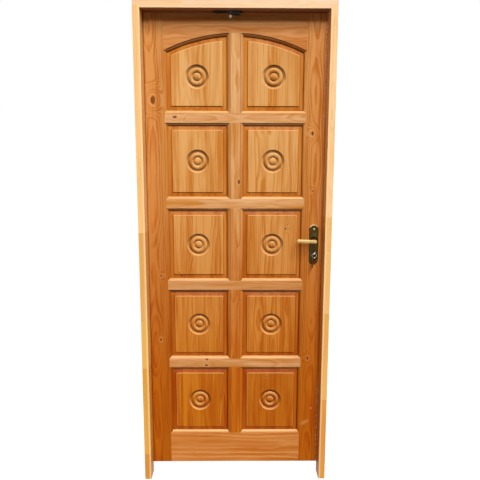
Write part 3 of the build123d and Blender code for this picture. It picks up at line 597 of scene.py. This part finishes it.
def panel(side, row):
    """One floating panel: rings run from the front's middle over the rosette, the field, its step and the
    sloping margin to the tongue, and on to the back's middle; round the edge each ring is an outline set in
    by the profile's distance."""
    name = f"panel_{side}_{row}"
    box_low, box_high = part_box(name)
    low = (box_low.x + tongue_reach, box_low.z + tongue_reach)
    high = (box_high.x - tongue_reach, box_high.z - tongue_reach)
    arched = row == 1
    centre_z = low[1] - sticking_width + top_rosette_rise if arched else (low[1] + high[1]) / 2
    middle = np.array([(low[0] + high[0]) / 2, centre_z])
    profile = panel_profile()
    outlines = np.stack([panel_outline(low, high, arched, inset) for inset in profile[:, 0]])
    edge = outlines[-1]
    towards = edge - middle
    towards = towards / np.linalg.norm(towards, axis=1, keepdims=True)
    radii, sinks = rosette_profile(rosette_steps)
    rim = middle + towards * (rosette_radius + rosette_rim_gap)
    flat = edge + (rim - edge) * np.array([0.5, 1.0])[:, None, None]
    turned = middle + towards * radii[:, None, None]
    plain = middle + towards * (rosette_radius * np.array([0.5, 0.0]))[:, None, None]

    front_heights = np.concatenate([profile[:, 1], np.full(2, field_half), field_half - sinks])
    front = panel_face(np.concatenate([outlines, flat, turned]), -1, front_heights)
    back_heights = np.concatenate([profile[:, 1], np.full(4, field_half)])
    back = panel_face(np.concatenate([outlines, flat, plain]), 1, back_heights)
    whole = np.concatenate([front[::-1], back])
    piece = add_mesh(name + "_turned", whole.reshape(-1, 3), ring_faces(*whole.shape[:2]),
                     panel_wood(name, side, row), "leaf")

    # Painted shade and painted highlights on the rosette and the edges, and stain on the margins, as point
    # attributes
    shade, stain, highlight = edge_light_and_stain(profile)
    turned_shade, turned_highlight = rosette_painted_light(radii, sinks, towards)
    painted_light_and_stain = {"painted_shade": (turned_shade, shade), "stain": (np.zeros(turned_shade.shape), stain),
                "painted_highlight": (turned_highlight, highlight)}
    around = whole.shape[1]
    for title, (on_rosette, on_edge) in painted_light_and_stain.items():
        values = np.concatenate([on_rosette[::-1], np.zeros((2, around)), on_edge[::-1],
                                 on_edge, np.zeros((4, around))])
        attribute = piece.data.attributes.new(title, "FLOAT", "POINT")
        attribute.data.foreach_set("value", values.astype(np.float32).ravel())
    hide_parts(name)


for side in sides:
    for row in rows:
        panel(side, row)

# Front faces: how far behind a face its marks fade out
face_skin = 0.001
leaf_mark_reach = 0.002
frame_mark_reach = 0.004


def at_front(depth, front, reach):
    """One on a front face, fading to zero at a reach behind it."""
    return depth.ease(front + reach, front + face_skin)


# Stiles
stile_tones = {"hinge_stile": (srgb(198, 129, 60), srgb(167, 83, 3)),
               "lock_stile": (srgb(208, 136, 64), srgb(179, 90, 5))}
stile_knots = {"hinge_stile": [(1.720, -0.352, 0.010), (0.952, -0.333, 0.004), (0.652, -0.340, 0.005)],
               "lock_stile": [(1.582, 0.334, 0.006), (1.334, 0.342, 0.003), (0.562, 0.335, 0.005)]}
stile_seed = 10
fleck_colour = srgb(226, 214, 204)
fleck_edge = (opening_half - 0.0060, opening_half - 0.0040)
fleck_upper_end = (1.60, 1.66)
fleck_lower_end = (0.46, 0.40)
fleck_along_rate, fleck_across_rate = 130.0, 220.0
fleck_detail = (2.0, 0.6)
fleck_level = (0.52, 0.60)
fleck_share = 0.95
speck_along, speck_across = 0.315, 0.357
speck_edge = (0.00338, 0.00156)
speck_share = 0.7
smear_colour = srgb(226, 160, 90)
smear_along, smear_across = 0.243, 0.326
smear_turn = math.radians(28)
smear_half_length, smear_half_width = 0.028, 0.011
smear_edge = (1.3, 0.2)
smear_share = 0.40
# Painted shadow: a dark line on the hinge stile's front beside the jamb
edge_shade_line = (0.0058 - opening_half, 0.0030 - opening_half)
edge_shade_share = 0.52


def lock_stile_marks(field, along, across, depth, colour):
    """White flecks of old filler along the stile's edge beside the jamb, near the head and the foot, with one
    speck and one pale smear low on its face."""
    front = at_front(depth, leaf_front, leaf_mark_reach)
    ends = along.ease(*fleck_upper_end) + along.ease(*fleck_lower_end)
    chipped = field.vector(along * fleck_along_rate, across * fleck_across_rate, 0.0)
    chips = field.noise(chipped, *fleck_detail).ease(*fleck_level)
    flecks = front * across.ease(*fleck_edge) * ends.math("MINIMUM", 1.0) * chips
    colour = (flecks * fleck_share).mix(colour, fleck_colour)
    away = length_of(along - speck_along, across - speck_across)
    speck = away.ease(*speck_edge)
    colour = (front * speck * speck_share).mix(colour, fleck_colour)
    up, right = along - smear_along, across - smear_across
    length = (right * math.cos(smear_turn) + up * math.sin(smear_turn)) / smear_half_length
    width = (up * math.cos(smear_turn) - right * math.sin(smear_turn)) / smear_half_width
    smear = length_of(length, width).ease(*smear_edge)
    return (front * smear * smear_share).mix(colour, smear_colour)


def hinge_stile_marks(field, along, across, depth, colour):
    """A painted shadow: a dark line along the edge beside the jamb."""
    line = at_front(depth, leaf_front, leaf_mark_reach) * across.ease(*edge_shade_line)
    return (line * edge_shade_share).mix(colour, painted_shade_colour)


stile_marks = {"hinge_stile": hinge_stile_marks, "lock_stile": lock_stile_marks}
for number, node in enumerate(("hinge_stile", "lock_stile")):
    top_tone, low_tone = stile_tones[node]
    dress(node, wood(node, "Z", top_tone, stile_seed + number, low_tone, knots=stile_knots[node],
                     ring_contrast=1.2, contrast=1.25, marks=stile_marks[node]))

# Muntins
muntin_top_tone = srgb(216, 157, 93)
muntin_low_tone = srgb(190, 102, 15)
muntin_knots = {"muntin_2": [(1.373, 0.016, 0.006)]}
muntin_seed = 20
moulding_start = 0.0212
moulding_fade = 0.001
# Painted shade on the muntins' mouldings: a tint and a thin dark line, with their shares
moulding_shade_colour = srgb(176, 92, 22)
moulding_shade_share = 0.30
moulding_shade_line = (0.0020, 0.0006)
moulding_shade_line_share = 0.36


def muntin_marks(field, along, across, depth, colour):
    """Painted shade along both sides: a dark tint over the mouldings and a thin dark line where they leave
    the flat.
    """
    out = across.size()
    tint = out.ease(moulding_start - moulding_fade, moulding_start + moulding_fade)
    colour = (tint * moulding_shade_share).mix(colour, moulding_shade_colour)
    line = (out - moulding_start).size().ease(*moulding_shade_line)
    return (line * moulding_shade_line_share).mix(colour, painted_shade_colour)


for row in rows:
    node = f"muntin_{row}"
    dress(node, wood(node, "Z", muntin_top_tone, muntin_seed + row, muntin_low_tone,
                     knots=muntin_knots.get(node, ()), ring_contrast=0.8, contrast=1.4, marks=muntin_marks))

# Rails
top_rail_tone = srgb(210, 138, 72)
bottom_rail_tone = srgb(203, 127, 60)
rail_tones = {2: srgb(217, 157, 98), 3: srgb(217, 157, 98), 4: srgb(206, 144, 86), 5: srgb(206, 144, 86)}
rail_knots = {"rail_2": [(-0.260, 1.650, 0.006)], "rail_5": [(-0.130, 0.556, 0.005), (-0.133, 0.528, 0.005)]}
rail_seed, top_rail_seed, bottom_rail_seed = 30, 36, 37
sunk_edge = (leaf_half - 0.0002, leaf_half - 0.0008)
# Painted shade in the quirk under a rail's face
quirk_start = (-0.0002, 0.0003)
quirk_end = (0.0040, 0.0028)
quirk_under_shade_share = 0.35
quirk_shade_share = 0.95
quirk_shade_colour = srgb(26, 8, 2)
# Painted highlight on a rail's upper moulding, which faces the light
rail_highlight_colour = srgb(255, 214, 150)
rail_highlight_start = 0.0010
rail_highlight_share = 0.42
bottom_rail_highlight_share = 0.85
bottom_rail_lines = (0.0014, 0.0046)
rail_line_edge = (0.0018, 0.0008)
rail_line_share = 0.8
rail_line_colour = srgb(188, 100, 36)


def sunk_below_face(depth):
    """One on the mouldings, whose surface lies under the leaf's two faces, and zero on the faces."""
    return (depth - leaf_middle).size().ease(*sunk_edge)


def quirk_shade(below):
    """Painted shade: one in the narrow quirk that starts at a rail's lower edge, from the distance below that
    edge, and a part of it on the moulding under the quirk."""
    return below.ease(*quirk_start) * below.ease(*quirk_end, quirk_under_shade_share, 1.0)


def rail_marks(low, high, highlight_share, lines=()):
    """Marks on a cross rail: a painted highlight on its upper moulding, which faces the light, with fine
    lines along it where the cutter's steps hold stain, and painted shade in the quirk under its face, where
    it has one."""
    def mark(field, along, across, depth, colour):
        sunk = sunk_below_face(depth)
        above = across - high
        colour = (sunk * above.ease(0.0, rail_highlight_start) * highlight_share).mix(colour, rail_highlight_colour)
        for line in lines:
            stained = (above - line).size().ease(*rail_line_edge)
            colour = (sunk * stained * rail_line_share).mix(colour, rail_line_colour)
        if low is None:
            return colour
        return (sunk * quirk_shade(low - across) * quirk_shade_share).mix(colour, quirk_shade_colour)
    return mark


def arch_marks(field, along, across, depth, colour):
    """The same painted shade in the quirk along the top rail's arch, by the distance inside the arch's
    circle.
    """
    inside = arch_radius - length_of(along, across - arch_centre)
    return (sunk_below_face(depth) * quirk_shade(inside) * quirk_shade_share).mix(colour, quirk_shade_colour)


for row in rows[1:]:
    node = f"rail_{row}"
    low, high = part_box(node)
    marks = rail_marks(low.z + sticking_width, high.z - sticking_width, rail_highlight_share)
    dress(node, wood(node, "X", rail_tones[row], rail_seed + row, knots=rail_knots.get(node, ()),
                     ring_contrast=0.6, contrast=1.1, marks=marks))
dress("top_rail", wood("top_rail", "X", top_rail_tone, top_rail_seed, ring_contrast=0.7, contrast=1.0,
                       marks=arch_marks))
bottom_rail_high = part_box("bottom_rail")[1].z - sticking_width
bottom_marks = rail_marks(None, bottom_rail_high, bottom_rail_highlight_share, bottom_rail_lines)
dress("bottom_rail", wood("bottom_rail", "X", bottom_rail_tone, bottom_rail_seed, ring_contrast=-1.3,
                          contrast=0.9, wild=1.7, ring_spacing=0.018, ring_sharpness=4.0, marks=bottom_marks))

# Frame: each finger-jointed length has a tone, from cream at the head to gold at the feet
left_joints = [(1.161, srgb(233, 174, 98)), (0.763, srgb(240, 186, 98)), (0.546, srgb(229, 168, 72)),
               (0.131, srgb(216, 145, 62))]
swirl_low, swirl_high = 1.070, 1.227
right_joints = [(swirl_high, srgb(248, 196, 124)), (swirl_low, srgb(242, 187, 114)),
                (0.800, srgb(236, 176, 96)), (0.395, srgb(222, 150, 68))]
head_joints = [(-0.212, srgb(249, 202, 150))]
hinge_jamb_tone = srgb(251, 200, 132)
lock_jamb_tone = srgb(251, 203, 142)
head_tone = srgb(252, 211, 167)
hinge_jamb_seed, lock_jamb_seed, head_seed = 50, 52, 54
# Painted highlight along the frame's inner front edges
arris_edge = (0.010, 0.006)
arris_highlight_share = 0.5
arris_highlight_colour = srgb(255, 226, 172)
swirl_along_rate, swirl_across_rate = 13.0, 16.0
swirl_detail = (2.0, 0.5)
swirl_bend = 0.045
swirl_pitch = 0.0075
swirl_line = (0.15, 0.45)
swirl_share = 0.55
swirl_colour = srgb(226, 148, 66)
# Painted shade on the head's underside, darkest beside the leaf
soffit_shade_colour = srgb(112, 52, 14)
soffit_depths = (0.003, 0.060)
soffit_shade_shares = (0.72, 0.94)
soffit_edge = (head_under + 0.0012, head_under + 0.0002)


def arris_highlight(out, depth, colour):
    """A painted highlight: a paler strip along a front edge beside the dark reveal, by the distance from it.
    """
    near = out.ease(*arris_edge)
    return (near * at_front(depth, frame_front, frame_mark_reach) * arris_highlight_share).mix(colour, arris_highlight_colour)


def hinge_jamb_marks(field, along, across, depth, colour):
    """The painted highlight along the inner edge."""
    return arris_highlight(across.size() - opening_half, depth, colour)


def lock_jamb_marks(field, along, across, depth, colour):
    """The painted highlight along the inner edge, and one length with swirling grain: lines along it, bent by
    soft noise.
    """
    bent = field.vector(along * swirl_along_rate, across * swirl_across_rate, depth * swirl_across_rate)
    bend = field.noise(bent, *swirl_detail) - 0.5
    line = ((across + bend * swirl_bend) / swirl_pitch).math("PINGPONG", 0.5)
    length = along.above(swirl_low) * (1 - along.above(swirl_high))
    colour = (length * line.ease(*swirl_line) * swirl_share).mix(colour, swirl_colour)
    return arris_highlight(across.size() - opening_half, depth, colour)


def head_marks(field, along, across, depth, colour):
    """The painted highlight on the front arris, and painted shade on the underside, darkest beside the leaf.
    """
    behind = (depth - frame_front).ease(*soffit_depths, *soffit_shade_shares)
    colour = arris_highlight(across - head_under, depth, colour)
    return (across.ease(*soffit_edge) * behind).mix(colour, soffit_shade_colour)


dress("hinge_jamb", wood("hinge_jamb", "Z", hinge_jamb_tone, hinge_jamb_seed, joints=left_joints,
                         ring_contrast=0.3, contrast=0.35, marks=hinge_jamb_marks))
dress("lock_jamb", wood("lock_jamb", "Z", lock_jamb_tone, lock_jamb_seed, joints=right_joints,
                        ring_contrast=0.3, contrast=0.35, marks=lock_jamb_marks))
dress("head", wood("head", "X", head_tone, head_seed, joints=head_joints,
                   ring_contrast=0.2, contrast=0.25, marks=head_marks))

timber = ["head", "hinge_jamb", "lock_jamb", "hinge_stile", "lock_stile", "top_rail", "bottom_rail"]
timber += [f"rail_{row}" for row in rows[1:]] + [f"muntin_{row}" for row in rows]
for node in timber:
    soften(node)

# Metal fittings, by the record's material slots
# Painted shade with dark patina round the lever's collar, and a painted highlight on the plate's upward bevel
collar_edge = (0.016875, 0.0135)
collar_shade_share = 0.85
bevel_facing = (0.20, 0.45)
bronze_highlight_colour = srgb(226, 222, 180)
collar_shade_and_patina = srgb(16, 11, 5)


def plate_marks(field, x, z, colour):
    """A painted highlight on the plate's upper bevel, by how far its surface looks up, and painted shade with
    dark patina round the lever's collar."""
    facing = field.node("ShaderNodeTexCoord", None, None, "Normal")
    upward = field.node("ShaderNodeSeparateXYZ", None, {0: facing}, 2)
    colour = upward.ease(*bevel_facing).mix(colour, bronze_highlight_colour)
    away = length_of(x - spindle_x, z - spindle_z)
    return (away.ease(*collar_edge) * collar_shade_share).mix(colour, collar_shade_and_patina)


slot_finish = {
    "antique_bronze": metal("antique_bronze", srgb(66, 53, 26), srgb(100, 83, 46), 0.46, 0.60,
                            marks=plate_marks),
    "lever_brass": metal("lever_brass", srgb(186, 160, 104), srgb(150, 118, 66), 0.52, 0.62),
    "hinge_steel": metal("hinge_steel", srgb(196, 160, 92), srgb(150, 118, 64), 0.38, 0.60),
    "lock_steel": metal("lock_steel", srgb(190, 190, 188), srgb(140, 138, 132), 0.36, 0.62),
    "key_nickel": metal("key_nickel", srgb(214, 212, 206), srgb(170, 166, 158), 0.26, 0.64),
    "spare_key_brass": metal("spare_key_brass", srgb(116, 72, 40), srgb(150, 104, 62), 0.42, 0.60),
    "black_metal": metal("black_metal", srgb(20, 20, 20), srgb(34, 33, 31), 0.45, 0.60, metallic=0.2)}
for subpart in frame["record"]["subparts"]:
    finish = slot_finish.get(subpart["material_slot"])
    if finish:
        dress(subpart["node"], finish)
dress("plate_screws", metal("plate_screw_brass", srgb(190, 168, 126), srgb(120, 98, 60), 0.40, 0.64))

# Floor
floor_half = 30.0
floor_grey = (0.13, 0.128, 0.123, 1)
floor_roughness = 0.9
floor_glow = 1.72
floor_shade_share = 0.42
white = (1, 1, 1, 1)


def white_when_seen(field, shade_share):
    """One for rays from the camera, mirrors and glass, scaled to leave a share of the real shading."""
    seen = [field.node("ShaderNodeLightPath", None, None, name)
            for name in ("Is Camera Ray", "Is Glossy Ray", "Is Transmission Ray")]
    return seen[0].math("MAXIMUM", seen[1]).math("MAXIMUM", seen[2]) * (1 - shade_share)


def make_floor():
    """A plain floor that is white to the camera and keeps a soft part of the shadow. To the lamps it is
    grey, so that it throws little light back up and the shadows stay deep."""
    corner = np.array([[-1, -1], [1, -1], [1, 1], [-1, 1]]) * floor_half
    mesh = bpy.data.meshes.new("floor")
    mesh.from_pydata(np.column_stack([corner, np.zeros(4)]).tolist(), [], [(0, 1, 2, 3)])
    piece = bpy.data.objects.new("floor", mesh)
    bpy.context.scene.collection.objects.link(piece)
    made, field, shader = start_material("floor")
    shader.inputs["Base Color"].default_value = floor_grey
    shader.inputs["Roughness"].default_value = floor_roughness
    glow = field.node("ShaderNodeEmission", None, {"Color": white, "Strength": floor_glow})
    shaded = Field(field.tree, shader.outputs[0])
    seen = white_when_seen(field, floor_shade_share)
    both = field.node("ShaderNodeMixShader", None, {0: seen, 1: shaded, 2: glow})
    field.tree.links.new(both.socket, field.tree.nodes["Material Output"].inputs["Surface"])
    mesh.materials.append(made)


make_floor()

# Light: soft lamps in front, and a wide one behind for the back
lamp_colour = (1.0, 0.97, 0.92)
sky_strength = 0.015


def soft_lamp(name, elevation, to_right, strength, width):
    """A distant soft lamp, placed by its height and its turn from the front to the right, in degrees."""
    light = bpy.data.lights.new(name, "SUN")
    light.energy = strength
    light.angle = math.radians(width)
    light.color = lamp_colour
    lamp = bpy.data.objects.new(name, light)
    up, right = math.radians(elevation), math.radians(to_right)
    towards = Vector((math.sin(right) * math.cos(up), -math.cos(right) * math.cos(up), math.sin(up)))
    lamp.rotation_euler = towards.to_track_quat("Z", "Y").to_euler()
    bpy.context.scene.collection.objects.link(lamp)


def make_sky():
    """A weak even sky that is white to the camera, mirrors and glass."""
    world = bpy.data.worlds.new("studio")
    bpy.context.scene.world = world
    world.use_nodes = True
    world.node_tree.nodes.clear()
    sky = Field(world.node_tree)
    level = white_when_seen(sky, 0.0) * (1 - sky_strength) + sky_strength
    background = sky.node("ShaderNodeBackground", None, {"Color": white, "Strength": level})
    output = world.node_tree.nodes.new("ShaderNodeOutputWorld")
    world.node_tree.links.new(background.socket, output.inputs["Surface"])


soft_lamp("front_lamp", elevation=28, to_right=2, strength=1.56, width=14)
soft_lamp("high_lamp", elevation=46, to_right=12, strength=1.61, width=20)
soft_lamp("side_lamp", elevation=32, to_right=62, strength=0.86, width=30)
soft_lamp("back_lamp", elevation=34, to_right=195, strength=1.30, width=70)
make_sky()

# Camera, at the photo's place and angle: metres, radians, and millimetres for the lens
camera_place = (0.0007, -2.2629, 1.4696)
camera_pitch = 0.1562
camera_yaw = 0.0092
camera_roll = -0.0023
camera_data = bpy.data.cameras.new("camera")
camera_data.sensor_width = 36
camera_data.lens = 38.30
camera_data.clip_end = 200
camera = bpy.data.objects.new("camera", camera_data)
turned = Matrix.Rotation(-camera_yaw, 4, "Z") @ Matrix.Rotation(math.pi / 2 - camera_pitch, 4, "X")
camera.matrix_world = Matrix.Translation(camera_place) @ turned @ Matrix.Rotation(-camera_roll, 4, "Z")
bpy.context.scene.collection.objects.link(camera)
bpy.context.scene.camera = camera
bpy.context.scene.view_settings.view_transform = "Standard"
